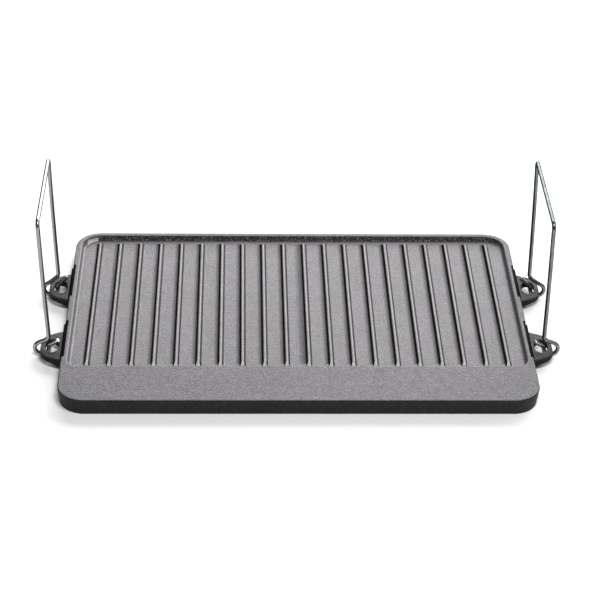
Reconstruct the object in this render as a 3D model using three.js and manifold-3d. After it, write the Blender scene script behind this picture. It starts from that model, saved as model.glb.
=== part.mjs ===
// Reversible cast iron grill griddle with two lift-off-style wire bails.
// Millimetres, +Z up. The origin is on the resting plane, under the middle of
// the plate. -Y is the front (the flat ledge over the grease trough), +X runs
// along the length. One cast plate carries four eye lugs, two at each short
// side. Each bail is one bent wire whose two hooks ring the outer bridges of a
// pair of lugs, so that the bail swings about the centre of its two hook rings.

import * as THREE from 'three';
import { mergeVertices } from 'three/addons/utils/BufferGeometryUtils.js';
import Module from 'manifold-3d';

// ---- plate ----
const PLATE_L = 609.6;          // length along X
const PLATE_W = 406.4;          // depth along Y
const PLATE_H = 22.5;           // rim height
const CORNER_R = 35.0;          // outer corners, plan
const TOP_EDGE = 1.8;           // rounding of the upper outer edge
const DRAFT = 2.6;              // side walls lean in by this much at the foot
const RIM = 8.0;                // flat of the rim, left, right and back
const LEDGE = 77.0;             // flat ledge along the front
const FIELD_DROP = 6.0;         // ribbed field below the rim
const FIELD_WALL = 4.5;         // run of the curved field wall
const FIELD_FRONT_R = 14.0;     // front corners of the field, at rim height

// ---- ribs ----
const RIB_COUNT = 20;
const RIB_PITCH = 28.575;
const RIB_BASE = 8.0;
const RIB_TOP = 3.2;
const RIB_H = 4.3;
const RIB_Y0 = -119.5, RIB_Y1 = 182.0;   // feet of the rib ends
const RIB_END = 6.0;                     // run of the sloped rib ends

// ---- reverse side ----
const RECESS_DROP = 10.5;       // smooth griddle surface above the lower rim
const RECESS_WALL = 4.0;
const TROUGH_DROP = 16.0;       // grease trough under the ledge
const TROUGH_Y0 = -193.5, TROUGH_Y1 = -136.0;
const TROUGH_HALF_X = 292.0;
const TROUGH_R = 20.0;

// ---- lugs ----
const LUG_Y = 71.0;             // centre of each lug from the middle line
const LUG_OUT = 334.2;          // outer end, from the middle of the plate
const LUG_TOP = 15.5;
const LUG_ROOT_Z = 3.5;         // underside at the plate
const LUG_END_Z = 7.5;          // underside at the outer end
const EYE_X = 319.2;            // eye centre
const EYE_RX = 8.7, EYE_RY = 14.0;
const EYE_FLARE = 1.7;          // flare of the eye at the underside
const PAD_OUT = 307.8;          // pad on the plate's side that each lug grows from
const PAD_TOP_X = 301.2;        // its face leans back and cuts the rim's outer edge here
const PAD_SHOULDER = 15.6, PAD_FOOT = 4.5;
const PAD_FRONT = [-106.0, -22.0];
const PAD_BACK = [38.0, 117.0];

// ---- wire bails ----
const WIRE_R = 2.8;
const RING_R = 9.2;             // hook ring, wire centre line
const PIVOT_X = 332.6;          // centre of the hook ring and of the swing
const PIVOT_Z = 12.2;
const LEG_IN = 11.0;            // legs stand inboard of the pivot
const BAR_Z = 207.0;            // centre line of the grip bar
const RING_Y = 71.5, KNEE_Y = 77.5, BAR_Y = 83.5, TIP_Y = 78.0;
const TIP_X = 309.6, TIP_Z = 27.6;
const RING_LEAVE = 60;          // degrees on the ring where the wire leaves for the leg
const KNEE_R = 7.0;             // centre-line radius of the bend into the leg
const BAR_BEND = 8.0;           // centre-line radius of the grip corners
const WIRE_SIDES = 12;
const LEFT_LEAN = 1.6;          // degrees that the left bail stands outwards
const RIGHT_LEAN = 1.0;         // degrees that the right bail stands inwards

const wasm = await Module();
wasm.setup();

function solid(geometry) {
  let g = geometry.clone();
  g.deleteAttribute('normal');
  g.deleteAttribute('uv');
  g = mergeVertices(g, 1e-4);
  return new wasm.Manifold(new wasm.Mesh({
    numProp: 3,
    vertProperties: new Float32Array(g.attributes.position.array),
    triVerts: new Uint32Array(g.index.array),
  }));
}

function toGeometry(manifold) {
  const m = manifold.getMesh();
  const g = new THREE.BufferGeometry();
  const n = m.numProp;
  const pos = new Float32Array((m.vertProperties.length / n) * 3);
  for (let i = 0; i < pos.length / 3; i++)
    for (let k = 0; k < 3; k++) pos[3 * i + k] = m.vertProperties[n * i + k];
  g.setAttribute('position', new THREE.BufferAttribute(pos, 3));
  g.setIndex(new THREE.BufferAttribute(new Uint32Array(m.triVerts), 1));
  g.computeVertexNormals();
  return g;
}

// Rectangle with its own radius at the front and back corners.
function roundRect(x0, y0, x1, y1, rFront, rBack = rFront) {
  const s = new THREE.Shape();
  s.moveTo(x0 + rFront, y0);
  s.lineTo(x1 - rFront, y0);
  s.absarc(x1 - rFront, y0 + rFront, rFront, -Math.PI / 2, 0, false);
  s.lineTo(x1, y1 - rBack);
  s.absarc(x1 - rBack, y1 - rBack, rBack, 0, Math.PI / 2, false);
  s.lineTo(x0 + rBack, y1);
  s.absarc(x0 + rBack, y1 - rBack, rBack, Math.PI / 2, Math.PI, false);
  s.lineTo(x0, y0 + rFront);
  s.absarc(x0 + rFront, y0 + rFront, rFront, Math.PI, 1.5 * Math.PI, false);
  return s;
}

// Cutter whose full outline stands above z = edge and whose nose curves in by
// `run` over `drop` below it.
function pocket(shape, edge, drop, run, reach, segments = 3, arc = 9) {
  const g = new THREE.ExtrudeGeometry(shape, {
    depth: reach, steps: 1, curveSegments: arc,
    bevelEnabled: true, bevelThickness: drop, bevelSize: run,
    bevelOffset: -run, bevelSegments: segments,
  });
  g.translate(0, 0, edge);
  return solid(g);
}

// The same cutter, turned to open downwards.
function pocketFromBelow(shape, edge, drop, run, reach, segments = 3, arc = 9) {
  const g = new THREE.ExtrudeGeometry(shape, {
    depth: reach, steps: 1, curveSegments: arc,
    bevelEnabled: true, bevelThickness: drop, bevelSize: run,
    bevelOffset: -run, bevelSegments: segments,
  });
  g.translate(0, 0, -reach + edge);
  return solid(g);
}

// ---- cast plate ----
function castBody() {
  const hx = PLATE_L / 2, hy = PLATE_W / 2;
  const upper = new THREE.ExtrudeGeometry(roundRect(-hx, -hy, hx, hy, CORNER_R), {
    depth: PLATE_H - 2 * TOP_EDGE, steps: 1, curveSegments: 10,
    bevelEnabled: true, bevelThickness: TOP_EDGE, bevelSize: TOP_EDGE,
    bevelOffset: -TOP_EDGE, bevelSegments: 3,
  });
  upper.translate(0, 0, TOP_EDGE);
  const drafted = new THREE.ExtrudeGeometry(roundRect(-hx, -hy, hx, hy, CORNER_R), {
    depth: 10, steps: 1, curveSegments: 10,
    bevelEnabled: true, bevelThickness: PLATE_H - TOP_EDGE, bevelSize: DRAFT,
    bevelOffset: -DRAFT, bevelSegments: 1,
  });
  drafted.translate(0, 0, PLATE_H - TOP_EDGE);
  let body = solid(upper).intersect(solid(drafted));

  const fx = hx - RIM, fy0 = -hy + LEDGE, fy1 = hy - RIM;
  body = body.subtract(pocket(
    roundRect(-fx, fy0, fx, fy1, FIELD_FRONT_R, CORNER_R - RIM),
    PLATE_H, FIELD_DROP, FIELD_WALL, 10));

  body = body.subtract(pocketFromBelow(
    roundRect(-fx, -hy + RIM, fx, fy1, CORNER_R - RIM),
    0, RECESS_DROP, RECESS_WALL, 10));
  body = body.subtract(pocketFromBelow(
    roundRect(-TROUGH_HALF_X, TROUGH_Y0, TROUGH_HALF_X, TROUGH_Y1, TROUGH_R, TROUGH_R),
    3, TROUGH_DROP - 3, 7, 10));
  return body;
}

// Rounded rib section, run the length of the field, cut to sloped ends.
function ribs() {
  const b = RIB_BASE / 2, t = RIB_TOP / 2, root = 1.2;
  const z0 = PLATE_H - FIELD_DROP;
  const s = new THREE.Shape();
  s.moveTo(-b, -root);
  s.lineTo(b, -root);
  s.lineTo(b, 0);
  s.bezierCurveTo(b - 0.9, 0.3, t + 0.9, RIB_H - 1.5, t, RIB_H - 0.9);
  s.bezierCurveTo(t - 0.3, RIB_H, -t + 0.3, RIB_H, -t, RIB_H - 0.9);
  s.bezierCurveTo(-t - 0.9, RIB_H - 1.5, -b + 0.9, 0.3, -b, 0);
  s.lineTo(-b, -root);
  const len = RIB_Y1 - RIB_Y0;
  let all = null;
  for (let i = 0; i < RIB_COUNT; i++) {
    const g = new THREE.ExtrudeGeometry(s, { depth: len, steps: 1, curveSegments: 3, bevelEnabled: false });
    g.rotateX(Math.PI / 2);
    g.translate((i - (RIB_COUNT - 1) / 2) * RIB_PITCH, RIB_Y1, z0);
    const r = solid(g);
    all = all ? all.add(r) : r;
  }
  const e = new THREE.Shape();
  e.moveTo(RIB_Y0, z0 - 2 * root);
  e.lineTo(RIB_Y1, z0 - 2 * root);
  e.lineTo(RIB_Y1, z0);
  e.lineTo(RIB_Y1 - 0.75 * RIB_END, z0 + RIB_H - 0.8);
  e.lineTo(RIB_Y1 - RIB_END - 1.2, z0 + RIB_H + 0.01);
  e.lineTo(RIB_Y0 + RIB_END + 1.2, z0 + RIB_H + 0.01);
  e.lineTo(RIB_Y0 + 0.75 * RIB_END, z0 + RIB_H - 0.8);
  e.lineTo(RIB_Y0, z0);
  e.lineTo(RIB_Y0, z0 - 2 * root);
  const ends = new THREE.ExtrudeGeometry(e, { depth: 600, steps: 1, bevelEnabled: false });
  ends.rotateX(Math.PI / 2);
  ends.rotateZ(Math.PI / 2);
  ends.translate(-300, 0, 0);
  return all.intersect(solid(ends));
}

// Half of the lug's plan outline: [distance from the plate's middle, half width].
const LUG_HALF = [
  [296.0, 38.5], [303.6, 36.2], [305.6, 34.4], [309.0, 32.9], [315.0, 30.6],
  [321.0, 27.8], [326.5, 24.4], [330.0, 20.8], [332.6, 16.4], [333.9, 11.0], [334.2, 5.0],
];

// One eye lug on the +X side, centred on Y = 0.
function lug() {
  const s = new THREE.Shape();
  s.moveTo(LUG_HALF[0][0], -LUG_HALF[0][1]);
  for (const [x, w] of LUG_HALF.slice(1)) s.lineTo(x, -w);
  for (const [x, w] of LUG_HALF.slice().reverse()) s.lineTo(x, w);
  const plan = new THREE.ExtrudeGeometry(s, { depth: 20, steps: 1, bevelEnabled: false });
  plan.translate(0, 0, 0);

  // Side profile: flat top, rounded outer end, underside rising outwards.
  const p = new THREE.Shape();
  p.moveTo(295, LUG_ROOT_Z - 0.8);
  p.lineTo(304.8, LUG_ROOT_Z);
  p.lineTo(322, LUG_END_Z - 0.6);
  p.lineTo(329, LUG_END_Z);
  p.absarc(LUG_OUT - 2.6, LUG_END_Z + 2.6, 2.6, -Math.PI / 2, 0, false);
  p.absarc(LUG_OUT - 2.6, LUG_TOP - 2.6, 2.6, 0, Math.PI / 2, false);
  p.lineTo(295, LUG_TOP);
  const prof = new THREE.ExtrudeGeometry(p, { depth: 120, steps: 1, curveSegments: 4, bevelEnabled: false });
  prof.rotateX(Math.PI / 2);
  prof.translate(0, 60, 0);

  const eye = new THREE.Shape();
  eye.absellipse(EYE_X, 0, EYE_RX, EYE_RY, 0, 2 * Math.PI, false, 0);
  const through = new THREE.ExtrudeGeometry(eye, { depth: 40, steps: 1, curveSegments: 14, bevelEnabled: false });
  through.translate(0, 0, -10);
  const flare = new THREE.ExtrudeGeometry(eye, {
    depth: 10, steps: 1, curveSegments: 14, bevelEnabled: true,
    bevelThickness: 3.2, bevelSize: EYE_FLARE, bevelOffset: 0, bevelSegments: 2,
  });
  flare.translate(0, 0, LUG_END_Z - 10.6);

  return solid(plan).intersect(solid(prof)).subtract(solid(through)).subtract(solid(flare));
}

// Pads on one short side (+X): upright below, leaning back to the rim above.
function pads() {
  const p = new THREE.Shape();
  p.moveTo(299, PAD_FOOT);
  p.lineTo(PAD_OUT - 1.2, PAD_FOOT);
  p.lineTo(PAD_OUT, PAD_FOOT + 1.5);
  p.lineTo(PAD_OUT, PAD_SHOULDER);
  p.lineTo(PAD_TOP_X + 0.4, PLATE_H - 0.4);
  p.lineTo(299, PLATE_H - 0.4);
  const prof = new THREE.ExtrudeGeometry(p, { depth: 300, steps: 1, bevelEnabled: false });
  prof.rotateX(Math.PI / 2);
  prof.translate(0, 150, 0);
  const plan = (y0, y1) => solid(new THREE.ExtrudeGeometry(
    roundRect(300, y0, PAD_OUT, y1, 3.4), { depth: 30, steps: 1, curveSegments: 4, bevelEnabled: false }));
  return plan(...PAD_FRONT).add(plan(...PAD_BACK)).intersect(solid(prof));
}

// What the pads' leaning faces take off the rim's outer edge.
function padFaces() {
  const w = new THREE.Shape();
  w.moveTo(PAD_TOP_X, PLATE_H);
  w.lineTo(PAD_OUT, PAD_SHOULDER);
  w.lineTo(PAD_OUT + 1, PAD_SHOULDER);
  w.lineTo(PAD_OUT + 1, PLATE_H + 1);
  w.lineTo(PAD_TOP_X, PLATE_H + 1);
  const cut = (y0, y1) => {
    const g = new THREE.ExtrudeGeometry(w, { depth: y1 - y0, steps: 1, bevelEnabled: false });
    g.rotateX(Math.PI / 2);
    g.translate(0, y1, 0);
    return solid(g);
  };
  return cut(...PAD_FRONT).add(cut(...PAD_BACK));
}

function griddlePlate() {
  let right = lug().translate([0, LUG_Y, 0]).add(lug().translate([0, -LUG_Y, 0])).add(pads());
  // Nothing of a lug reaches into the plate's own hollows.
  const keep = new THREE.BoxGeometry(60, 400, 60);
  keep.translate(301.5 + 30, 0, 0);
  right = right.intersect(solid(keep));
  let body = castBody().add(ribs());
  const left = right.mirror([1, 0, 0]);
  const faces = padFaces();
  return toGeometry(body.add(right).add(left).subtract(faces).subtract(faces.mirror([1, 0, 0])));
}

// ---- bent wire ----
// A curve given by its own points, so that straight runs take one step each
// and bends take many.
class BentWire extends THREE.Curve {
  constructor(points) {
    super();
    this.pts = points;
  }
  getPoint(t, target = new THREE.Vector3()) {
    const f = t * (this.pts.length - 1);
    const i = Math.min(Math.floor(f + 1e-9), this.pts.length - 2);
    return target.copy(this.pts[i]).lerp(this.pts[i + 1], f - i);
  }
  getPointAt(u, target) { return this.getPoint(u, target); }
  getTangentAt(u, target = new THREE.Vector3()) {
    const i = Math.round(u * (this.pts.length - 1));
    const a = this.pts[Math.max(i - 1, 0)], b = this.pts[Math.min(i + 1, this.pts.length - 1)];
    const m = this.pts[i];
    const d1 = m.clone().sub(a), d2 = b.clone().sub(m);
    if (d1.length() > 0) d1.normalize();
    if (d2.length() > 0) d2.normalize();
    return target.copy(d1.add(d2)).normalize();
  }
  getTangent(t, target) { return this.getTangentAt(t, target); }
}

// Half of a +X bail, from the front tip to the middle of the grip bar.
function halfBail() {
  const pts = [];
  const ring = (deg, y) => new THREE.Vector3(
    PIVOT_X + RING_R * Math.cos(deg * Math.PI / 180), y,
    PIVOT_Z + RING_R * Math.sin(deg * Math.PI / 180));
  // Tip: from above the rim's edge down into the eye.
  const start = ring(180, -RING_Y);
  const tip = new THREE.Vector3(TIP_X, -TIP_Y, TIP_Z);
  const tipCurve = new THREE.CubicBezierCurve3(
    tip,
    new THREE.Vector3(TIP_X + 5.4, -TIP_Y + 1.8, TIP_Z - 5.6),
    new THREE.Vector3(start.x - 0.3, -RING_Y - 1.2, start.z + 6.0),
    start);
  for (const p of tipCurve.getPoints(7)) pts.push(p);
  // Ring: down, out and back over the bridge.
  for (let d = 195; d <= 360 + RING_LEAVE + 0.01; d += 15) pts.push(ring(d, -RING_Y));
  // Straight off the ring, inwards and up, then a bend into the upright leg.
  const a0 = RING_LEAVE * Math.PI / 180;
  const lx = PIVOT_X - LEG_IN;
  const x0 = PIVOT_X + RING_R * Math.cos(a0), z0 = PIVOT_Z + RING_R * Math.sin(a0);
  const run = (x0 - lx) / Math.sin(a0);              // to the corner point
  const zc = z0 + run * Math.cos(a0);
  const cut = KNEE_R * Math.tan(a0 / 2);              // corner point to each end of the bend
  const yAt = u => -(RING_Y + (KNEE_Y - RING_Y) * u * u * (3 - 2 * u));
  const along = run - cut;
  for (const k of [0.5, 1]) {
    pts.push(new THREE.Vector3(
      x0 - along * k * Math.sin(a0), yAt(0.62 * k), z0 + along * k * Math.cos(a0)));
  }
  for (let k = 1; k <= 4; k++) {
    const b = (1 - k / 4) * a0;
    pts.push(new THREE.Vector3(
      lx + KNEE_R * (1 - Math.cos(b)), yAt(0.62 + 0.3 * k / 4), zc + cut - KNEE_R * Math.sin(b)));
  }
  const cz = zc + cut;
  pts.push(new THREE.Vector3(lx, -KNEE_Y, cz + 9));
  // Leg and grip corner.
  const splay = (BAR_Y - KNEE_Y) * (BAR_Z - BAR_BEND - cz - 9) / (BAR_Z - cz - 9);
  pts.push(new THREE.Vector3(lx, -(KNEE_Y + splay), BAR_Z - BAR_BEND));
  for (let k = 1; k <= 5; k++) {
    const a = k * 18 * Math.PI / 180;
    pts.push(new THREE.Vector3(lx, -BAR_Y + BAR_BEND * (1 - Math.cos(a)), BAR_Z - BAR_BEND + BAR_BEND * Math.sin(a)));
  }
  pts.push(new THREE.Vector3(lx, 0, BAR_Z));
  return pts;
}

function bailGeometry(side) {
  const half = halfBail();
  const back = half.slice(0, -1).reverse().map(p => new THREE.Vector3(p.x, -p.y, p.z));
  // The whole wire turns about its ring centre to the lean it stands at.
  const lean = (side > 0 ? -RIGHT_LEAN : LEFT_LEAN) * Math.PI / 180;
  const pts = half.concat(back).map(p => {
    const x = p.x - PIVOT_X, z = p.z - PIVOT_Z;
    return new THREE.Vector3(
      side * (PIVOT_X + x * Math.cos(lean) + z * Math.sin(lean)), p.y,
      PIVOT_Z - x * Math.sin(lean) + z * Math.cos(lean));
  });
  const s = new THREE.Shape();
  for (let i = 0; i < WIRE_SIDES; i++) {
    const a = 2 * Math.PI * i / WIRE_SIDES;
    if (i === 0) s.moveTo(WIRE_R, 0);
    else s.lineTo(WIRE_R * Math.cos(a), WIRE_R * Math.sin(a));
  }
  const g = new THREE.ExtrudeGeometry(s, {
    steps: pts.length - 1, bevelEnabled: false, extrudePath: new BentWire(pts),
  });
  return toGeometry(solid(g));
}

const iron = new THREE.MeshStandardMaterial({ color: 0x4a4a4b, roughness: 0.62, metalness: 0.35 });
const plated = new THREE.MeshStandardMaterial({ color: 0xc4c8c8, roughness: 0.22, metalness: 1.0 });

const group = new THREE.Group();

const plate = new THREE.Mesh(griddlePlate(), iron);
plate.name = 'griddle_plate';
group.add(plate);

const leftBail = new THREE.Mesh(bailGeometry(-1), plated);
leftBail.name = 'left_bail_handle';
group.add(leftBail);

const rightBail = new THREE.Mesh(bailGeometry(1), plated.clone());
rightBail.name = 'right_bail_handle';
group.add(rightBail);

export default group;
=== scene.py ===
import math

import bmesh
import bpy
import numpy as np
from mathutils import Matrix, Vector


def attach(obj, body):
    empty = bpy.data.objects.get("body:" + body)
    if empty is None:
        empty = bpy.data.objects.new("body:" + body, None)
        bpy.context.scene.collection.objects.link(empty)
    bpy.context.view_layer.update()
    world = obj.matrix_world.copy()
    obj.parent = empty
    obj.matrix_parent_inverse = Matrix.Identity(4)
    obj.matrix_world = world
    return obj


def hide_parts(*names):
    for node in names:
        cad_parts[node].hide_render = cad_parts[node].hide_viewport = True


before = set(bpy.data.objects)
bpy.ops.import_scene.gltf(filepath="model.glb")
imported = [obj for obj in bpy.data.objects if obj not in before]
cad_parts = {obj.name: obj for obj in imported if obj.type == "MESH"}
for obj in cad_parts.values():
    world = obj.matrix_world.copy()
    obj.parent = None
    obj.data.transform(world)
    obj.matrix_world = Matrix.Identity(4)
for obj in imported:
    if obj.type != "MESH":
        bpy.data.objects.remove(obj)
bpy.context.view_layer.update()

MM = 0.001

# ------------------------------------------------------------------ sizes, mm
HX, HY, H = 304.8, 203.2, 22.5
CORNER_R = 35.0
TOP_EDGE = 1.8
DRAFT = 2.6
FOOT_EDGE = 0.8
RIM = 8.0
LEDGE = 77.0
FX, FY0, FY1 = HX - RIM, -HY + LEDGE, HY - RIM
FIELD_DROP = 6.0
FIELD_FRONT_R = 14.0
RIB_COUNT, RIB_PITCH = 20, 28.575
RIB_Y0, RIB_Y1 = -119.5, 182.0
RECESS_DROP = 10.5
TROUGH_Y0, TROUGH_Y1, TROUGH_X, TROUGH_R = -193.5, -136.0, 292.0, 20.0
LUG_Y, LUG_TOP = 71.0, 15.5
EYE_X, EYE_RX, EYE_RY = 319.2, 8.7, 14.0
PADS = [(-106.0, -22.0), (38.0, 117.0)]
PAD_OUT, PAD_TOP_X, PAD_SHOULDER = 307.8, 301.2, 15.6

PIVOT_X, PIVOT_Z, RING_R = 332.6, 12.2, 9.2
WIRE_R = 2.75
LEG_IN, BAR_Z, BAR_BEND = 11.0, 207.0, 8.0
RING_Y, KNEE_Y, BAR_Y, TIP_Y = 71.5, 77.5, 83.5, 78.0
TIP_X, TIP_Z = 309.6, 27.6
RING_LEAVE, KNEE_R = 60.0, 7.0
LEFT_LEAN, RIGHT_LEAN = 1.6, 1.0

rng = np.random.default_rng(7)


# ------------------------------------------------------------- small helpers
def span(a, b, step):
    """Values from a up to, but not including, b."""
    n = max(1, int(round((b - a) / step)))
    return list(a + (b - a) * np.arange(n) / n)


def wall_profile(s, drop, r1, r2, theta_deg):
    """Depth at a run s into a cast wall: rounded edge, straight wall, fillet."""
    t = math.radians(theta_deg)
    straight = max(0.0, (drop - (r1 + r2) * (1 - math.cos(t))) / math.sin(t))
    d1 = r1 * (1 - math.cos(t))
    s1 = r1 * math.sin(t)
    s2 = s1 + straight * math.cos(t)
    s3 = s2 + r2 * math.sin(t)
    full = d1 + straight * math.sin(t) + r2 * (1 - math.cos(t))
    s = np.asarray(s, float)
    a = r1 - np.sqrt(np.clip(r1 * r1 - np.clip(s, 0, s1) ** 2, 0, None))
    b = d1 + (s - s1) * math.tan(t)
    c = full - (r2 - np.sqrt(np.clip(r2 * r2 - np.clip(s3 - s, 0, r2) ** 2, 0, None)))
    out = np.where(s < s1, a, np.where(s < s2, b, c))
    out = np.where(s >= s3, full, out)
    return np.where(s <= 0, 0.0, out) * (drop / full)


def inside(x, y, hx, y0, y1, r_front, r_back):
    """Distance inwards from a rounded rectangle, negative outside it."""
    mid = (y0 + y1) / 2
    r = np.where(y > mid, r_back, r_front)
    dx = np.abs(x) - (hx - r)
    dy = np.where(y > mid, y - (y1 - r), (y0 + r) - y)
    out = np.hypot(np.maximum(dx, 0), np.maximum(dy, 0)) + np.minimum(np.maximum(dx, dy), 0) - r
    return -out


def waves(x, y, count, lo, hi, seed):
    """Smooth seeded unevenness of about unit size, wavelengths lo..hi mm."""
    g = np.random.default_rng(seed)
    z = np.zeros_like(x)
    for _ in range(count):
        k = 2 * math.pi / g.uniform(lo, hi)
        a = g.uniform(0, 2 * math.pi)
        z += np.sin(k * (x * math.cos(a) + y * math.sin(a)) + g.uniform(0, 6.28))
    return z / math.sqrt(count)


def new_object(name, verts, faces):
    me = bpy.data.meshes.new(name)
    me.from_pydata([tuple(v) for v in np.asarray(verts, float) * MM], [], faces)
    me.validate()
    ob = bpy.data.objects.new(name, me)
    bpy.context.scene.collection.objects.link(ob)
    return ob


def outward(ob):
    bm = bmesh.new()
    bm.from_mesh(ob.data)
    bmesh.ops.recalc_face_normals(bm, faces=bm.faces)
    bm.to_mesh(ob.data)
    bm.free()


def smooth(ob, degrees):
    me = ob.data
    me.polygons.foreach_set("use_smooth", np.ones(len(me.polygons), bool))
    me.set_sharp_from_angle(angle=math.radians(degrees))
    me.update()


# ------------------------------------------------------------- the cast plate
RIB_U = np.array([0, .6, 1.1, 1.6, 2.0, 2.3, 2.6, 2.95, 3.4, 3.9, 4.5, 5.0])
RIB_V = np.array([4.10, 4.03, 3.80, 3.36, 2.75, 2.10, 1.45, .88, .42, .16, .03, 0])
RIB_X = (np.arange(RIB_COUNT) - (RIB_COUNT - 1) / 2) * RIB_PITCH


def rib_height(x, y):
    i = np.clip(np.round(x / RIB_PITCH + (RIB_COUNT - 1) / 2), 0, RIB_COUNT - 1).astype(int)
    g = np.random.default_rng(21)
    dx, w = g.uniform(-0.18, 0.18, RIB_COUNT), g.uniform(0.97, 1.03, RIB_COUNT)
    e0, e1 = g.uniform(-0.35, 0.35, RIB_COUNT), g.uniform(-0.35, 0.35, RIB_COUNT)
    u = np.abs(x - RIB_X[i] - dx[i]) / w[i]
    prof = np.interp(u, RIB_U, RIB_V)
    front = (y - (RIB_Y0 + 0.4 + e0[i])) * 0.80
    back = ((RIB_Y1 - 0.4 + e1[i]) - y) * 0.80
    end = np.clip(np.minimum(front, back), 0, 9)
    # smooth minimum of the section and the sloped end
    k = 0.55
    h = np.clip(0.5 + 0.5 * (end - prof) / k, 0, 1)
    low = end * (1 - h) + prof * h - k * h * (1 - h)
    return np.clip(low, 0, None)


def top_z(x, y):
    q = inside(x, y, FX, FY0, FY1, FIELD_FRONT_R, CORNER_R - RIM)
    z = H - wall_profile(q + 1.6, FIELD_DROP, 2.2, 5.0, 62)
    z = z + np.where(q > 4, rib_height(x, y), 0.0)
    uneven = waves(x, y, 10, 18, 60, 3) * 0.05 + waves(x, y, 8, 5, 11, 4) * 0.02
    return np.minimum(z + uneven - 0.12, H)


def bottom_z(x, y):
    q = inside(x, y, FX, -HY + RIM, FY1, CORNER_R - RIM, CORNER_R - RIM)
    z = wall_profile(q + 1.0, RECESS_DROP, 1.5, 3.5, 78)
    t = inside(x, y, TROUGH_X, TROUGH_Y0, TROUGH_Y1, TROUGH_R, TROUGH_R)
    z = z + wall_profile(t - 0.8, 5.5, 1.4, 3.2, 62)
    inner = np.clip((q - 2) / 6, 0, 1)
    return z + (waves(x, y, 8, 20, 70, 5) * 0.05 - 0.05) * inner


def grid_lines():
    off = [-4.6, -3.9, -3.4, -3.0, -2.6, -2.2, -1.8, -1.3, -.65, 0, .65, 1.3, 1.8, 2.2, 2.6, 3.0, 3.4, 3.9, 4.6]
    xs = []
    for c in RIB_X[RIB_COUNT // 2:]:
        xs += [c + o for o in off]
        if c < 270:
            xs += [c + RIB_PITCH / 2 - 4.8, c + RIB_PITCH / 2, c + RIB_PITCH / 2 + 4.8]
    xs = [x for x in xs if abs(x - (HX - CORNER_R)) > 0.12]
    xs += [HX - CORNER_R, 278.0, 280.2] + span(282.4, 299.0, 0.62) + [299.2, 300.2, 301.0, 301.35, HX - TOP_EDGE]
    xs = sorted(set(round(x, 4) for x in xs))
    xs = [-x for x in reversed(xs)] + [0.0] + xs
    ys = (
        [-(HY - TOP_EDGE), -198.9, -198.2] + span(-197.4, -186.6, 0.68) + span(-186.6, -168.2, 2.6)
        + span(-168.2, -143.6, 5.0) + span(-143.6, -134.6, 0.8) + span(-134.6, -128.6, 2.0)
        + span(-128.6, -110.6, 0.56) + [-110.6, -107.6, -106.5, -105.9, -105.2, -104.2, -102.8, -98.0]
        + span(-92.0, -26.0, 9.0) + [-25.2, -23.8, -22.8, -22.1, -21.5, -20.4, -17.0] + span(-12.0, 32.0, 9.0)
        + [33.0, 36.4, 37.5, 38.1, 38.8, 39.8, 41.2, 46.0] + span(52.0, 110.0, 9.0)
        + [111.0, 113.8, 115.2, 116.2, 116.9, 117.5, 118.6, 122.0] + span(128.0, 168.2, 9.0) + span(168.2, 174.2, 1.5)
        + span(174.2, 183.0, 0.55) + span(183.0, 188.6, 0.9) + span(188.6, 198.4, 0.55)
        + [198.6, 199.4, HY - TOP_EDGE]
    )
    ys = sorted(set(round(v, 4) for v in ys))
    return np.array(xs), np.array(ys)


def rounded(gx, gy):
    """The square grid bent so that its corners follow the plate's corners."""
    cx, cy = HX - CORNER_R, HY - CORNER_R
    a, b = np.abs(gx) - cx, np.abs(gy) - cy
    m = (a > 0) & (b > 0)
    aa, bb = np.where(m, a, 1.0), np.where(m, b, 1.0)
    r = np.maximum(aa, bb)
    ang = np.where(aa >= bb, math.pi / 4 * bb / aa, math.pi / 2 - math.pi / 4 * aa / bb)
    x = np.where(m, np.sign(gx) * (cx + r * np.cos(ang)), gx)
    y = np.where(m, np.sign(gy) * (cy + r * np.sin(ang)), gy)
    return x, y


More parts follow.
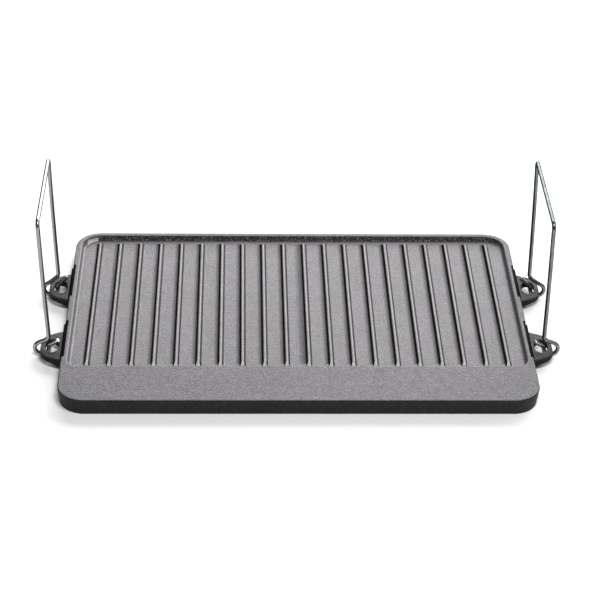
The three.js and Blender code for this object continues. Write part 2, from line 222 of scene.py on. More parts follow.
def plate_body():
    xs, ys = grid_lines()
    nx, ny = len(xs), len(ys)
    gx, gy = np.meshgrid(xs, ys)
    x, y = rounded(gx, gy)
    top = np.stack([x, y, top_z(x, y)], -1)
    bot = np.stack([x, y, bottom_z(x, y)], -1)

    per = (
        [(0, i) for i in range(nx)] + [(j, nx - 1) for j in range(1, ny)]
        + [(ny - 1, i) for i in range(nx - 2, -1, -1)] + [(j, 0) for j in range(ny - 2, 0, -1)]
    )
    pj, pi = np.array([p[0] for p in per]), np.array([p[1] for p in per])
    edge = top[pj, pi][:, :2]
    cx, cy = HX - CORNER_R, HY - CORNER_R
    corner = (np.abs(edge[:, 0]) > cx + 1e-6) & (np.abs(edge[:, 1]) > cy + 1e-6)
    n = np.zeros_like(edge)
    side = np.abs(np.abs(edge[:, 0]) - (HX - TOP_EDGE)) < 1e-6
    n[side, 0] = np.sign(edge[side, 0])
    n[~side, 1] = np.sign(edge[~side, 1])
    c = np.stack([np.sign(edge[:, 0]) * cx, np.sign(edge[:, 1]) * cy], -1)
    d = edge - c
    n[corner] = (d / np.linalg.norm(d, axis=1)[:, None])[corner]

    rounds = []
    for k in range(1, 7):
        a = math.pi / 2 * k / 6
        rounds.append((TOP_EDGE * (1 - math.sin(a)), H - TOP_EDGE + TOP_EDGE * math.cos(a)))
    foot = H - TOP_EDGE
    for z in (17.5, 14.0, 10.5, 7.0, 3.6, FOOT_EDGE + 0.4):
        rounds.append((DRAFT * (foot - z) / foot, z))
    for k in range(1, 4):
        a = math.pi / 2 * k / 4
        rounds.append((DRAFT + FOOT_EDGE * (1 - math.cos(a)), FOOT_EDGE * (1 - math.sin(a))))
    last = DRAFT + FOOT_EDGE
    bot[pj, pi, :2] = edge + n * (TOP_EDGE - last)
    bot[pj, pi, 2] = 0.0
    top[pj, pi, 2] = H

    def pad_cut(p):
        # the pads' leaning faces take the rim's outer edge off
        p = np.array(p, float)
        for y0, y1 in PADS:
            t = np.minimum(p[..., 1] - y0, y1 - p[..., 1])
            plane = H - (np.abs(p[..., 0]) - PAD_TOP_X) * (H - PAD_SHOULDER) / (PAD_OUT - PAD_TOP_X)
            low = (t > 0) & (np.abs(p[..., 0]) > PAD_TOP_X) & (p[..., 2] > 14)
            p[..., 2] = np.where(low, np.minimum(p[..., 2], np.maximum(plane, 14.5)), p[..., 2])
        return p

    top = pad_cut(top)
    verts = [top.reshape(-1, 3), bot.reshape(-1, 3)]
    base = 2 * nx * ny
    m = len(per)
    loops = [pj * nx + pi]
    for k, (off, z) in enumerate(rounds):
        ring = edge + n * (TOP_EDGE - off)
        wob = waves(ring[:, 0] + 3 * z, ring[:, 1], 6, 30, 90, 9) * 0.05 if 2 < z < 19 else 0.0
        ring = ring - n * (np.abs(wob)[:, None] if not np.isscalar(wob) else 0.0)
        verts.append(pad_cut(np.column_stack([ring, np.full(m, z)])))
        loops.append(base + k * m + np.arange(m))
    loops.append(nx * ny + pj * nx + pi)

    faces = []
    j, i = np.meshgrid(np.arange(ny - 1), np.arange(nx - 1), indexing="ij")
    a = (j * nx + i).ravel()
    faces += np.stack([a, a + 1, a + nx + 1, a + nx], -1).tolist()
    b = a + nx * ny
    faces += np.stack([b, b + nx, b + nx + 1, b + 1], -1).tolist()
    for l0, l1 in zip(loops[:-1], loops[1:]):
        faces += np.stack([l0, l1, np.roll(l1, -1), np.roll(l0, -1)], -1).tolist()
    return new_object("plate_body", np.vstack(verts), faces)


# ------------------------------------------------------------ lugs and pads
LUG_HALF = np.array([
    [299.6, 37.6], [303.6, 35.9], [305.8, 34.2], [309.0, 32.9], [315.0, 30.6], [321.0, 27.8],
    [326.5, 24.4], [330.0, 20.8], [332.6, 16.4], [333.9, 11.0], [334.15, 5.0],
])


def catmull(pts, n, closed=False):
    p = np.asarray(pts, float)
    ext = np.vstack([p[0] * 2 - p[1], p, p[-1] * 2 - p[-2]]) if not closed else np.vstack([p[-1], p, p[:2]])
    out = []
    for k in range(len(ext) - 3):
        p0, p1, p2, p3 = ext[k:k + 4]
        for t in np.arange(n) / n:
            out.append(0.5 * ((2 * p1) + (p2 - p0) * t + (2 * p0 - 5 * p1 + 4 * p2 - p3) * t * t
                              + (3 * p1 - p0 - 3 * p2 + p3) * t ** 3))
    out.append(ext[-2])
    return np.array(out)


def lug_outline():
    half = catmull(np.vstack([LUG_HALF, [[334.2, 0.0]]]), 5)
    upper = half
    lower = half[::-1][1:] * [1, -1]
    return np.vstack([upper, lower])


def ray_out(poly, cx, cy, ang):
    """Where a ray from the eye's centre leaves the lug's outline."""
    dx, dy = math.cos(ang), math.sin(ang)
    best = 1e9
    for a, b in zip(poly, np.roll(poly, -1, axis=0)):
        ex, ey = b - a
        den = dx * ey - dy * ex
        if abs(den) < 1e-9:
            continue
        t = ((a[0] - cx) * ey - (a[1] - cy) * ex) / den
        s = ((a[0] - cx) * dy - (a[1] - cy) * dx) / den
        if t > 0 and -1e-9 <= s <= 1 + 1e-9:
            best = min(best, t)
    return best


def lug_mesh(yc):
    poly = lug_outline()
    n = 112
    verts, faces = [], []

    def zb(x):
        return float(np.interp(x, [299, 304.8, 322, 329, 336], [3.0, 3.5, 6.9, 7.5, 7.6]))

    for k in range(n):
        a = 2 * math.pi * (k + 0.5) / n
        # the eye, as a slightly squared ellipse
        ca, sa = math.cos(a), math.sin(a)
        re = 1 / ((abs(ca / EYE_RX) ** 2.15 + abs(sa / EYE_RY) ** 2.15) ** (1 / 2.15))
        ro = ray_out(poly, EYE_X, 0.0, a)
        prof = []
        xi = EYE_X + (re + 0.2) * ca
        zi = zb(xi)
        prof += [(re + 1.7, zi + 0.0), (re + 0.85, zi + 0.9), (re + 0.25, zi + 2.3), (re, zi + 3.6)]
        top = LUG_TOP
        prof += [(re + 0.0, top - 2.2), (re + 0.14, top - 1.4), (re + 0.55, top - 0.62), (re + 1.15, top - 0.17), (re + 1.9, top)]
        wide = ro - re
        for f in (0.36, 0.55, 0.74):
            prof.append((re + wide * f, top - 0.05))
        for q in (0, 18, 36, 54, 72, 90):
            s = math.radians(q)
            prof.append((ro - 2.3 * (1 - math.sin(s)), top - 2.3 * (1 - math.cos(s))))
        xo = EYE_X + ro * ca
        zo = zb(min(xo, 335))
        mid = (top - 2.3 + zo + 1.6) / 2
        prof.append((ro + 0.0, mid))
        for q in (0, 30, 60, 90):
            s = math.radians(q)
            prof.append((ro - 1.6 * (1 - math.cos(s)), zo + 1.6 * (1 - math.sin(s))))
        for f in (0.68, 0.40):
            r = re + wide * f
            prof.append((r, zb(EYE_X + r * ca)))
        m = len(prof)
        for r, z in prof:
            verts.append((max(EYE_X + r * ca, 299.6), yc + r * sa, z))
    for k in range(n):
        for t in range(m):
            a0, a1 = k * m + t, k * m + (t + 1) % m
            b0, b1 = ((k + 1) % n) * m + t, ((k + 1) % n) * m + (t + 1) % m
            faces.append([a0, a1, b1, b0])
    ob = new_object("lug", verts, faces)
    outward(ob)
    return ob


def pad_mesh(y0, y1):
    zs = [4.6, 4.75, 5.1, 5.7, 6.6, 9, 12, 13.9, 14.9, 15.7, 16.5, 18, 19.5, 20.8, 21.9]
    knots_z = [4.6, 4.75, 5.1, 5.7, 6.6, 13.9, 14.9, 15.7, 16.5, 22.0]
    knots_x = [306.6, 307.0, 307.4, 307.7, 307.78, 307.78, 307.62, 307.25, 306.75, 301.55]
    ys = [y0, y0 + .06, y0 + .2, y0 + .45, y0 + .8, y0 + 2.6, y0 + 3.6] + list(np.linspace(y0 + 8, y1 - 8, 12)) + [
        y1 - 3.6, y1 - 2.6, y1 - .8, y1 - .45, y1 - .2, y1 - .06, y1]
    back = 300.6
    verts, faces = [], []
    for z in zs:
        xf = float(np.interp(z, knots_z, knots_x))
        for y in ys:
            t = min(y - y0, y1 - y)
            cut = 0.8 - math.sqrt(max(0, 0.8 ** 2 - (0.8 - min(t, 0.8)) ** 2))
            verts.append((max(xf - cut, back + 0.5), y, z))
    k = len(verts)
    for z in zs:
        for y in ys:
            verts.append((back, y, z))
    nz, n = len(zs), len(ys)
    for j in range(nz - 1):
        for i in range(n - 1):
            a = j * n + i
            faces.append([a, a + 1, a + n + 1, a + n])
            b = a + k
            faces.append([b, b + n, b + n + 1, b + 1])
    for i in range(n - 1):
        faces.append([i, k + i, k + i + 1, i + 1])
        t = (nz - 1) * n + i
        faces.append([t, t + 1, k + t + 1, k + t])
    for j in range(nz - 1):
        a = j * n
        faces.append([a, a + n, k + a + n, k + a])
        b = j * n + n - 1
        faces.append([b, k + b, k + b + n, b + n])
    ob = new_object("pad", verts, faces)
    outward(ob)
    return ob


def mirrored(ob):
    me = ob.data.copy()
    me.transform(Matrix.Scale(-1, 4, (1, 0, 0)))
    me.flip_normals()
    m = bpy.data.objects.new(ob.name + "_m", me)
    bpy.context.scene.collection.objects.link(m)
    return m


def union(base, others):
    for o in others:
        for solver in ("MANIFOLD", "EXACT"):
            mod = base.modifiers.new("join", "BOOLEAN")
            mod.operation = "UNION"
            mod.object = o
            try:
                mod.solver = solver
            except TypeError:
                base.modifiers.remove(mod)
                continue
            dg = bpy.context.evaluated_depsgraph_get()
            made = bpy.data.meshes.new_from_object(base.evaluated_get(dg))
            base.modifiers.remove(mod)
            if len(made.polygons) >= len(base.data.polygons) * 0.5:
                base.data = made
                break
        bpy.data.objects.remove(o)
    return base


def griddle_plate():
    body = plate_body()
    side = lug_mesh(LUG_Y)
    side = union(side, [pad_mesh(*PADS[1])])
    side2 = union(lug_mesh(-LUG_Y), [pad_mesh(*PADS[0])])
    parts = [side, side2, mirrored(side), mirrored(side2)]
    union(body, parts)
    body.name = "griddle_plate_cast"
    body.data.name = "griddle_plate_cast"
    smooth(body, 42)
    me = body.data
    co = np.empty(len(me.vertices) * 3)
    me.vertices.foreach_get("co", co)
    co = co.reshape(-1, 3) / MM
    ax = np.abs(co[:, 0])
    # painted shade, with some dull casting skin: how much a spot's colour is darkened to stand in for shade, and how
    # much it is dulled
    painted_shade_and_soot = np.zeros(len(co))
    on_pad = np.zeros(len(co), bool)
    for y0, y1 in PADS:
        on_pad |= (co[:, 1] > y0 - 0.2) & (co[:, 1] < y1 + 0.2) & (ax > PAD_TOP_X + 0.1) & (ax < 308.2)
    rim_in = inside(co[:, 0], co[:, 1], HX, -HY, HY, CORNER_R, CORNER_R)
    # painted shade: the outer walls of the plate are coloured darker, standing in for the shade they sit in
    painted_shade_and_soot[(rim_in < 4.2) & (co[:, 2] < H - 0.5)] = 0.64
    # painted shade: the lugs are coloured darker, most of all their sides below the top, standing in for shade; the lug
    # tops are also duller casting
    lugs = ax > 305.2
    painted_shade_and_soot[lugs] = 0.44
    painted_shade_and_soot[lugs & (co[:, 2] < LUG_TOP - 1.2)] = 0.8
    # painted shadow: the pads' leaning faces above the lugs are coloured near black, standing in for the shadow in the
    # recess
    painted_shade_and_soot[on_pad & (co[:, 2] > LUG_TOP + 0.05)] = 1.0
    # painted shade on the flanks and at the feet of the ribs, darker on the left flanks than on the right, standing in
    # for how the light falls; these spots are also duller
    i = np.clip(np.round(co[:, 0] / RIB_PITCH + (RIB_COUNT - 1) / 2), 0, RIB_COUNT - 1).astype(int)
    u = co[:, 0] - RIB_X[i]
    low = (co[:, 2] > 14) & (co[:, 2] < H - FIELD_DROP + 3.6)
    on_rib = (co[:, 1] > RIB_Y0 + 5.2) & (co[:, 1] < RIB_Y1 + 0.5) & low
    left = np.interp(-u, [1.1, 1.7, 3.9, 4.8, 5.6], [0, 1, 1, 0.5, 0])
    right = np.interp(u, [2.1, 2.7, 3.6, 4.3], [0, 0.8, 0.8, 0])
    painted_shade_and_soot = np.maximum(painted_shade_and_soot, np.maximum(left, right) * on_rib)
    # painted shade on the far wall of the field, apart from one corner; the far-wall mask also places painted glints
    q = inside(co[:, 0], co[:, 1], FX, FY0, FY1, FIELD_FRONT_R, CORNER_R - RIM)
    far = (q > -0.4) & (q < 4.6) & (co[:, 1] > FY1 - 16) & (co[:, 2] > 14) & (co[:, 2] < H - 0.15)
    far_wall = far * np.clip((co[:, 1] - (FY1 - 16)) / 8, 0, 1)
    painted_shade_and_soot = np.maximum(painted_shade_and_soot, 0.62 * far_wall)
    # painted highlights on the rib tops and on the front ends of the ribs, with painted shade beside and in front of
    # each front end
    painted_highlight = np.zeros(len(co))
    painted_highlight[(u > -1.4) & (u < 1.8) & low & (q > 4) & (co[:, 1] > RIB_Y0 + 4) & (co[:, 1] < RIB_Y1 - 4)] = 0.24
    painted_highlight[(u > -1.4) & (u < 1.8) & (co[:, 2] > H - FIELD_DROP + 3.6) & (q > 4)] = 0.24
    end = (co[:, 1] > RIB_Y0 - 0.4) & (co[:, 1] < RIB_Y0 + 5.6) & (q > 4) & (co[:, 2] > 14)
    reach = np.clip(3.4 - (co[:, 1] - RIB_Y0) * 0.32, 1.6, 3.4)
    tip = end & (co[:, 1] > RIB_Y0 + 0.9) & (np.abs(u) < reach - 0.5)
    painted_highlight[tip] = 1.0
    painted_shade_and_soot[end & (np.abs(u) >= reach - 0.5) & (np.abs(u) < 3.9)] = 1.0
    painted_shade_and_soot[end & (co[:, 1] <= RIB_Y0 + 0.9) & (np.abs(u) < 3.6)] = 0.9
    # the wall of the field: painted light at the left and along the front edge, painted shade at the right, standing in
    # for how the light falls on it
    wall = (q > -1.0) & (q < 5.0) & (co[:, 2] > 14) & (co[:, 1] < FY1 - 20)
    lines = np.maximum(np.interp(q, [-1.3, -0.6, 0.1, 0.9], [0, 1, 1, 0]), np.interp(q, [3.0, 3.8, 4.6, 5.2], [0, 0.8, 0.8, 0]))
    painted_highlight = np.maximum(painted_highlight, 0.30 * lines * wall * (co[:, 0] < -(FX - 20)))
    painted_highlight = np.maximum(painted_highlight, 0.22 * np.interp(q, [-1.3, -0.6, 0.1, 0.9], [0, 1, 1, 0]) * wall * (co[:, 1] < FY0 + 14))
    dark = np.interp(q, [0.2, 1.0, 3.6, 4.6], [0, 1, 1, 0]) * wall * (co[:, 0] > FX - 12)
    painted_shade_and_soot = np.maximum(painted_shade_and_soot, 0.44 * dark)
    # painted reflection: a light patch in the back-left corner of the far wall stands in for light reflected there, and
    # the painted shade is taken off it
    corner = far & (co[:, 0] < -(FX - 21)) & (co[:, 0] > -(FX - 7)) & (co[:, 2] < H - 2.2)
    painted_highlight[corner] = 0.85
    painted_shade_and_soot[corner] = 0.0
    under = co[:, 2] < 0.6
    painted_shade_and_soot[under] = np.maximum(painted_shade_and_soot[under], 0.3)
    field = np.clip((q - 5.0) / 3.0, 0, 1) * (co[:, 2] > 12)
    at = me.attributes.new("painted_shade_and_soot", "FLOAT", "POINT")
    at.data.foreach_set("value", painted_shade_and_soot.astype(np.float32))
    at = me.attributes.new("field", "FLOAT", "POINT")
    at.data.foreach_set("value", field.astype(np.float32))
    at = me.attributes.new("painted_highlight", "FLOAT", "POINT")
    at.data.foreach_set("value", painted_highlight.astype(np.float32))
    # painted glints: the far wall of the field is marked for light flecks that stand in for glints of light
    at = me.attributes.new("painted_glint_mask", "FLOAT", "POINT")
    at.data.foreach_set("value", far_wall.astype(np.float32))
    return body


# ------------------------------------------------------------- bent wire bail
def half_path():
    def ring(deg):
        return (PIVOT_X + RING_R * math.cos(math.radians(deg)), -RING_Y, PIVOT_Z + RING_R * math.sin(math.radians(deg)))

    pts = []
    start = np.array(ring(180))
    p0 = np.array([TIP_X, -TIP_Y, TIP_Z])
    p1 = np.array([TIP_X + 5.4, -TIP_Y + 1.8, TIP_Z - 5.6])
    p2 = np.array([start[0] - 0.3, -RING_Y - 1.2, start[2] + 6.0])
    for t in np.arange(16) / 16:
        pts.append((1 - t) ** 3 * p0 + 3 * (1 - t) ** 2 * t * p1 + 3 * (1 - t) * t * t * p2 + t ** 3 * start)
    for d in np.arange(180, 360 + RING_LEAVE + 0.01, 6):
        pts.append(np.array(ring(d)))
    a0 = math.radians(RING_LEAVE)
    lx = PIVOT_X - LEG_IN
    x0, z0 = PIVOT_X + RING_R * math.cos(a0), PIVOT_Z + RING_R * math.sin(a0)
    run = (x0 - lx) / math.sin(a0)
    zc = z0 + run * math.cos(a0)
    cut = KNEE_R * math.tan(a0 / 2)
    along = run - cut

    def y_at(u):
        return -(RING_Y + (KNEE_Y - RING_Y) * u * u * (3 - 2 * u))

    for k in np.arange(1, 6) / 5:
        pts.append(np.array([x0 - along * k * math.sin(a0), y_at(0.62 * k), z0 + along * k * math.cos(a0)]))
    for k in np.arange(1, 11) / 10:
        b = (1 - k) * a0
        pts.append(np.array([lx + KNEE_R * (1 - math.cos(b)), y_at(0.62 + 0.3 * k), zc + cut - KNEE_R * math.sin(b)]))
    cz = zc + cut
    for k in (0.35, 0.7, 1.0):
        pts.append(np.array([lx, -(abs(y_at(0.92)) + (KNEE_Y - abs(y_at(0.92))) * k), cz + 9 * k]))
    z1 = BAR_Z - BAR_BEND
    splay = (BAR_Y - KNEE_Y) * (z1 - cz - 9) / (BAR_Z - cz - 9)
    for k in np.arange(1, 13) / 12:
        z = cz + 9 + (z1 - cz - 9) * k
        bow = 0.35 * math.sin(math.pi * k)
        pts.append(np.array([lx + bow, -(KNEE_Y + splay * k), z]))
    for k in np.arange(1, 11) / 10:
        a = k * math.pi / 2
        pts.append(np.array([lx, -BAR_Y + BAR_BEND * (1 - math.cos(a)), z1 + BAR_BEND * math.sin(a)]))
    y1 = -BAR_Y + BAR_BEND
    for k in np.arange(1, 9) / 8:
        pts.append(np.array([lx, y1 * (1 - k), BAR_Z]))
    return np.array(pts)


def bail(side, name):
    half = half_path()
    pts = np.vstack([half, half[:-1][::-1] * [1, -1, 1]])
    lean = math.radians(-RIGHT_LEAN if side > 0 else LEFT_LEAN)
    x, z = pts[:, 0] - PIVOT_X, pts[:, 2] - PIVOT_Z
    pts = np.stack([
        side * (PIVOT_X + x * math.cos(lean) + z * math.sin(lean)), pts[:, 1],
        PIVOT_Z - x * math.sin(lean) + z * math.cos(lean)], -1)

    # one smoothing pass takes the last corners out of the centre line
    soft = pts.copy()
    soft[1:-1] = pts[1:-1] * 0.7 + (pts[:-2] + pts[2:]) * 0.15
    pts = soft
    tan = np.gradient(pts, axis=0)
    tan /= np.linalg.norm(tan, axis=1)[:, None]
    n0 = np.cross(tan[0], [0.0, 1.0, 0.0])
    n0 /= np.linalg.norm(n0)
    normals = [n0]
    for k in range(1, len(pts)):
        v = normals[-1] - tan[k] * np.dot(normals[-1], tan[k])
        normals.append(v / np.linalg.norm(v))
    sides = 24
    verts, faces = [], []

    def ring(c, nrm, t, r):
        b = np.cross(t, nrm)
        start = len(verts)
        for k in range(sides):
            a = 2 * math.pi * k / sides
            verts.append(c + r * (math.cos(a) * nrm + math.sin(a) * b))
        return start

    rings = []
    cap = [(0.0, 0.78), (0.12, 0.90), (0.42, 1.0)]
    for d, f in cap:
        rings.append(ring(pts[0] + tan[0] * d, normals[0], tan[0], WIRE_R * f))
    for k in range(1, len(pts) - 1):
        rings.append(ring(pts[k], normals[k], tan[k], WIRE_R))
    for d, f in reversed(cap):
        rings.append(ring(pts[-1] - tan[-1] * d, normals[-1], tan[-1], WIRE_R * f))
    for a, b in zip(rings[:-1], rings[1:]):
        for k in range(sides):
            faces.append([a + k, a + (k + 1) % sides, b + (k + 1) % sides, b + k])
    # sheared ends, very slightly domed
    for start, t, s in ((rings[0], tan[0], 1), (rings[-1], tan[-1], -1)):
        c = np.mean(verts[start:start + sides], axis=0) - t * s * 0.12
        mid = len(verts)
        inner = []
        for k in range(sides):
            verts.append(c * 0.45 + verts[start + k] * 0.55 - t * s * 0.05)
            inner.append(mid + k)
        verts.append(c)
        for k in range(sides):
            q = (k + 1) % sides
            if s > 0:
                faces.append([start + q, start + k, inner[k], inner[q]])
                faces.append([inner[q], inner[k], mid + sides])
            else:
                faces.append([start + k, start + q, inner[q], inner[k]])
                faces.append([inner[k], inner[q], mid + sides])
    ob = new_object(name, np.array(verts), faces)
    outward(ob)
    smooth(ob, 40)
    # bare metal on the sheared ends
    bare = np.zeros(len(verts))
    bare[rings[-1] + sides:] = 1.0
    for k in range(12):
        for start in (rings[k], rings[-1 - k]):
            bare[start:start + sides] = 0.75 * (1 - k / 12)
    # painted light: the left bail is coloured lighter than the right one, standing in for how each is lit; the plating
    # is the same on both
    painted_side_light = np.full(len(verts), 0.85 if side < 0 else 0.05)
    at = ob.data.attributes.new("painted_side_light", "FLOAT", "POINT")
    at.data.foreach_set("value", painted_side_light.astype(np.float32))
    at = ob.data.attributes.new("cut", "FLOAT", "POINT")
    at.data.foreach_set("value", bare.astype(np.float32))
    return ob


# ------------------------------------------------------------------ materials
def node(nt, kind, **values):
    n = nt.nodes.new(kind)
    for k, v in values.items():
        if k in n.inputs:
            n.inputs[k].default_value = v
        else:
            setattr(n, k, v)
    return n


def fresh(name):
    m = bpy.data.materials.new(name)
    m.use_nodes = True
    nt = m.node_tree
    nt.nodes.clear()
    out = nt.nodes.new("ShaderNodeOutputMaterial")
    bsdf = nt.nodes.new("ShaderNodeBsdfPrincipled")
    nt.links.new(bsdf.outputs["BSDF"], out.inputs["Surface"])
    return m, nt, bsdf


def noise(nt, coord, scale, detail=2.0, rough=0.5, dim=None):
    n = nt.nodes.new("ShaderNodeTexNoise")
    n.inputs["Scale"].default_value = scale
    n.inputs["Detail"].default_value = detail
    n.inputs["Roughness"].default_value = rough
    nt.links.new(coord, n.inputs["Vector"])
    return n.outputs["Fac"]


def maths(nt, op, a, b=None, c=None, clamp=False):
    n = nt.nodes.new("ShaderNodeMath")
    n.operation = op
    n.use_clamp = clamp
    for k, v in enumerate((a, b, c)):
        if v is None:
            continue
        if isinstance(v, (int, float)):
            n.inputs[k].default_value = v
        else:
            nt.links.new(v, n.inputs[k])
    return n.outputs[0]


def remap(nt, v, a, b, c, d):
    n = nt.nodes.new("ShaderNodeMapRange")
    n.inputs["From Min"].default_value = a
    n.inputs["From Max"].default_value = b
    n.inputs["To Min"].default_value = c
    n.inputs["To Max"].default_value = d
    nt.links.new(v, n.inputs["Value"])
    return n.outputs["Result"]


def mix_colour(nt, fac, a, b):
    n = nt.nodes.new("ShaderNodeMix")
    n.data_type = "RGBA"
    nt.links.new(fac, n.inputs[0])
    for idx, v in ((6, a), (7, b)):
        if isinstance(v, tuple):
            n.inputs[idx].default_value = (*v, 1)
        else:
            nt.links.new(v, n.inputs[idx])
    return n.outputs[2]


def seasoned_iron():
    m, nt, p = fresh("seasoned_iron")
    tc = nt.nodes.new("ShaderNodeTexCoord").outputs["Object"]
    def attribute(name):
        n = nt.nodes.new("ShaderNodeAttribute")
        n.attribute_name = name
        return n.outputs["Fac"]

    painted_shade_and_soot, field, painted_highlight, painted_glint_mask = (attribute(k) for k in ("painted_shade_and_soot", "field", "painted_highlight", "painted_glint_mask"))
    broad = noise(nt, tc, 14, 3, 0.55)
    mid = noise(nt, tc, 95, 3, 0.55)
    grain = noise(nt, tc, 560, 2, 0.65)
    fine = noise(nt, tc, 1500, 2, 0.6)

    col = mix_colour(nt, remap(nt, broad, 0.3, 0.7, 0, 1), (0.020, 0.0192, 0.0212), (0.034, 0.0325, 0.036))
    col = mix_colour(nt, remap(nt, grain, 0.35, 0.7, 0, 0.6), col, (0.058, 0.056, 0.060))
    # painted shade: darkens the colour where the shade mask is set
    col = mix_colour(nt, painted_shade_and_soot, col, (0.0072, 0.0062, 0.0052))
    # painted highlight: lightens the colour where the highlight mask is set
    col = mix_colour(nt, maths(nt, "MULTIPLY", painted_highlight, remap(nt, grain, 0.3, 0.65, 0.55, 1.0)), col, (0.62, 0.61, 0.60))
    # painted glints: light flecks on the far wall of the field
    glint = maths(nt, "MULTIPLY", painted_glint_mask, remap(nt, noise(nt, tc, 430, 2, 0.7), 0.52, 0.64, 0, 0.8), clamp=True)
    col = mix_colour(nt, glint, col, (0.22, 0.205, 0.19))
    nt.links.new(col, p.inputs["Base Color"])

    r = remap(nt, mid, 0.3, 0.7, 0.475, 0.545)
    r = maths(nt, "ADD", r, remap(nt, grain, 0.3, 0.7, 0.05, -0.05))
    r = maths(nt, "SUBTRACT", r, maths(nt, "MULTIPLY", field, 0.045))
    r = maths(nt, "ADD", r, maths(nt, "MULTIPLY", painted_shade_and_soot, 0.28), clamp=True)
    nt.links.new(r, p.inputs["Roughness"])
    p.inputs["IOR"].default_value = 1.5
    p.inputs["Metallic"].default_value = 0.0
    p.inputs["Specular Tint"].default_value = (0.985, 0.95, 1.0, 1)
    spec = remap(nt, painted_shade_and_soot, 0, 1, 0.67, 0.02)
    spec = maths(nt, "MULTIPLY", spec, remap(nt, grain, 0.34, 0.66, 0.72, 1.28))
    spec = maths(nt, "MULTIPLY", spec, maths(nt, "ADD", 1.0, maths(nt, "MULTIPLY", field, 0.10)), clamp=True)
    nt.links.new(spec, p.inputs["Specular IOR Level"])

    height = maths(nt, "MULTIPLY", grain, 0.8)
    height = maths(nt, "ADD", height, maths(nt, "MULTIPLY", fine, 0.30))
    height = maths(nt, "ADD", height, maths(nt, "MULTIPLY", noise(nt, tc, 300, 2, 0.5), 0.75))
    pits = nt.nodes.new("ShaderNodeTexVoronoi")
    pits.inputs["Scale"].default_value = 330
    nt.links.new(tc, pits.inputs["Vector"])
    height = maths(nt, "SUBTRACT", height, remap(nt, pits.outputs["Distance"], 0.0, 0.22, 0.35, 0.0))
    bump = nt.nodes.new("ShaderNodeBump")
    bump.inputs["Strength"].default_value = 0.85
    bump.inputs["Distance"].default_value = 0.0007
    nt.links.new(height, bump.inputs["Height"])
    nt.links.new(bump.outputs["Normal"], p.inputs["Normal"])
    return m


def plated_wire():
    m, nt, p = fresh("plated_wire")
    tc = nt.nodes.new("ShaderNodeTexCoord").outputs["Object"]
    broad = noise(nt, tc, 60, 3, 0.6)
    fine = noise(nt, tc, 900, 2, 0.6)
    col = mix_colour(nt, remap(nt, broad, 0.3, 0.7, 0, 1), (0.115, 0.126, 0.124), (0.19, 0.204, 0.20))
    painted_side_light = nt.nodes.new("ShaderNodeAttribute")
    painted_side_light.attribute_name = "painted_side_light"
    # painted light: the left bail's wire is coloured lighter than the right one's
    col = mix_colour(nt, painted_side_light.outputs["Fac"], col, (0.33, 0.352, 0.346))
    cut = nt.nodes.new("ShaderNodeAttribute")
    cut.attribute_name = "cut"
    col = mix_colour(nt, cut.outputs["Fac"], col, (0.72, 0.71, 0.66))
    nt.links.new(col, p.inputs["Base Color"])
    p.inputs["Metallic"].default_value = 1.0
    p.inputs["Specular Tint"].default_value = (0.06, 0.065, 0.065, 1)
    r = remap(nt, broad, 0.3, 0.7, 0.17, 0.25)
    r = maths(nt, "ADD", r, remap(nt, fine, 0.3, 0.7, 0.0, 0.05))
    nt.links.new(r, p.inputs["Roughness"])
    bump = nt.nodes.new("ShaderNodeBump")
    bump.inputs["Strength"].default_value = 0.25
    bump.inputs["Distance"].default_value = 0.00006
    nt.links.new(maths(nt, "ADD", fine, maths(nt, "MULTIPLY", noise(nt, tc, 260, 2, 0.5), 1.5)), bump.inputs["Height"])
    nt.links.new(bump.outputs["Normal"], p.inputs["Normal"])
    return m


def floor_material():
    m, nt, p = fresh("studio_floor")
    p.inputs["Base Color"].default_value = (0.93, 0.93, 0.93, 1)
    p.inputs["Roughness"].default_value = 0.9
    p.inputs["Specular IOR Level"].default_value = 0.1
    return m


# ------------------------------------------------------------------- assembly
iron, wire = seasoned_iron(), plated_wire()

plate = griddle_plate()
plate.data.materials.clear()
plate.data.materials.append(iron)
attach(plate, "plate")
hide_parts("griddle_plate")

for side, body, cad in ((-1, "left_bail", "left_bail_handle"), (1, "right_bail", "right_bail_handle")):
    w = bail(side, body + "_wire")
    w.data.materials.append(wire)
    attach(w, body)
    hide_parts(cad)

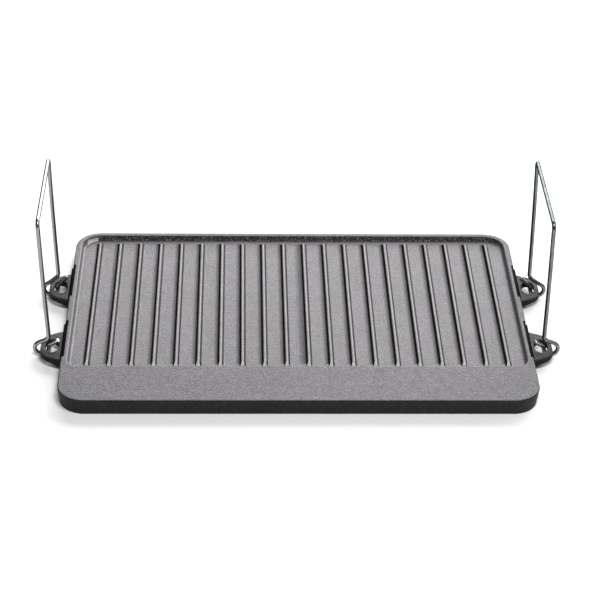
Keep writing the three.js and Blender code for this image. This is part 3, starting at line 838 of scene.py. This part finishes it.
# ---------------------------------------------------------------- studio
me = bpy.data.meshes.new("floor")
s = 14.0
me.from_pydata([(-s, -s, 0), (s, -s, 0), (s, s, 0), (-s, s, 0)], [], [(0, 1, 2, 3)])
floor = bpy.data.objects.new("floor", me)
bpy.context.scene.collection.objects.link(floor)
me.materials.append(floor_material())


def softbox(name, pos, target, wide, tall, radiance, colour=(1, 1, 1)):
    d = bpy.data.lights.new(name, "AREA")
    d.shape = "RECTANGLE"
    d.size, d.size_y = wide, tall
    d.energy = radiance * math.pi * wide * tall
    d.color = colour
    o = bpy.data.objects.new(name, d)
    o.location = pos
    o.rotation_euler = (Vector(target) - Vector(pos)).to_track_quat("-Z", "Y").to_euler()
    bpy.context.scene.collection.objects.link(o)
    return o


softbox("back_softbox", (0.75, 2.75, 1.60), (0, 0, 0), 4.8, 2.5, 6.0, (1.0, 0.992, 1.0))
softbox("top_softbox", (0.25, -1.0, 2.45), (0, -0.1, 0), 1.1, 1.0, 14.0)
softbox("right_softbox", (2.9, 0.5, 1.0), (0, 0, 0.05), 1.8, 1.4, 2.0)

world = bpy.data.worlds.new("studio")
bpy.context.scene.world = world
world.use_nodes = True
world.node_tree.nodes["Background"].inputs["Color"].default_value = (1, 1, 1, 1)
world.node_tree.nodes["Background"].inputs["Strength"].default_value = 0.12

view = bpy.context.scene.view_settings
view.view_transform = "Standard"
view.look = "None"
view.exposure = 0.0
view.gamma = 1.0

# ---------------------------------------------------------------- camera
elev, yaw, roll = math.radians(32.85), math.radians(2.106), math.radians(-1.26)
fwd = np.array([math.sin(yaw) * math.cos(elev), math.cos(yaw) * math.cos(elev), -math.sin(elev)])
right = np.array([math.cos(yaw), -math.sin(yaw), 0.0])
down = np.cross(fwd, right)
r2 = right * math.cos(roll) + down * math.sin(roll)
d2 = -right * math.sin(roll) + down * math.cos(roll)
cam_data = bpy.data.cameras.new("camera")
cam_data.sensor_width = 36.0
cam_data.lens = 116.76
cam_data.clip_start, cam_data.clip_end = 0.05, 60.0
cam = bpy.data.objects.new("camera", cam_data)
rot = Matrix((r2.tolist(), (-d2).tolist(), (-fwd).tolist())).transposed().to_4x4()
cam.matrix_world = Matrix.Translation((-0.0752, -2.1723, 1.4443)) @ rot
bpy.context.scene.collection.objects.link(cam)
bpy.context.scene.camera = cam
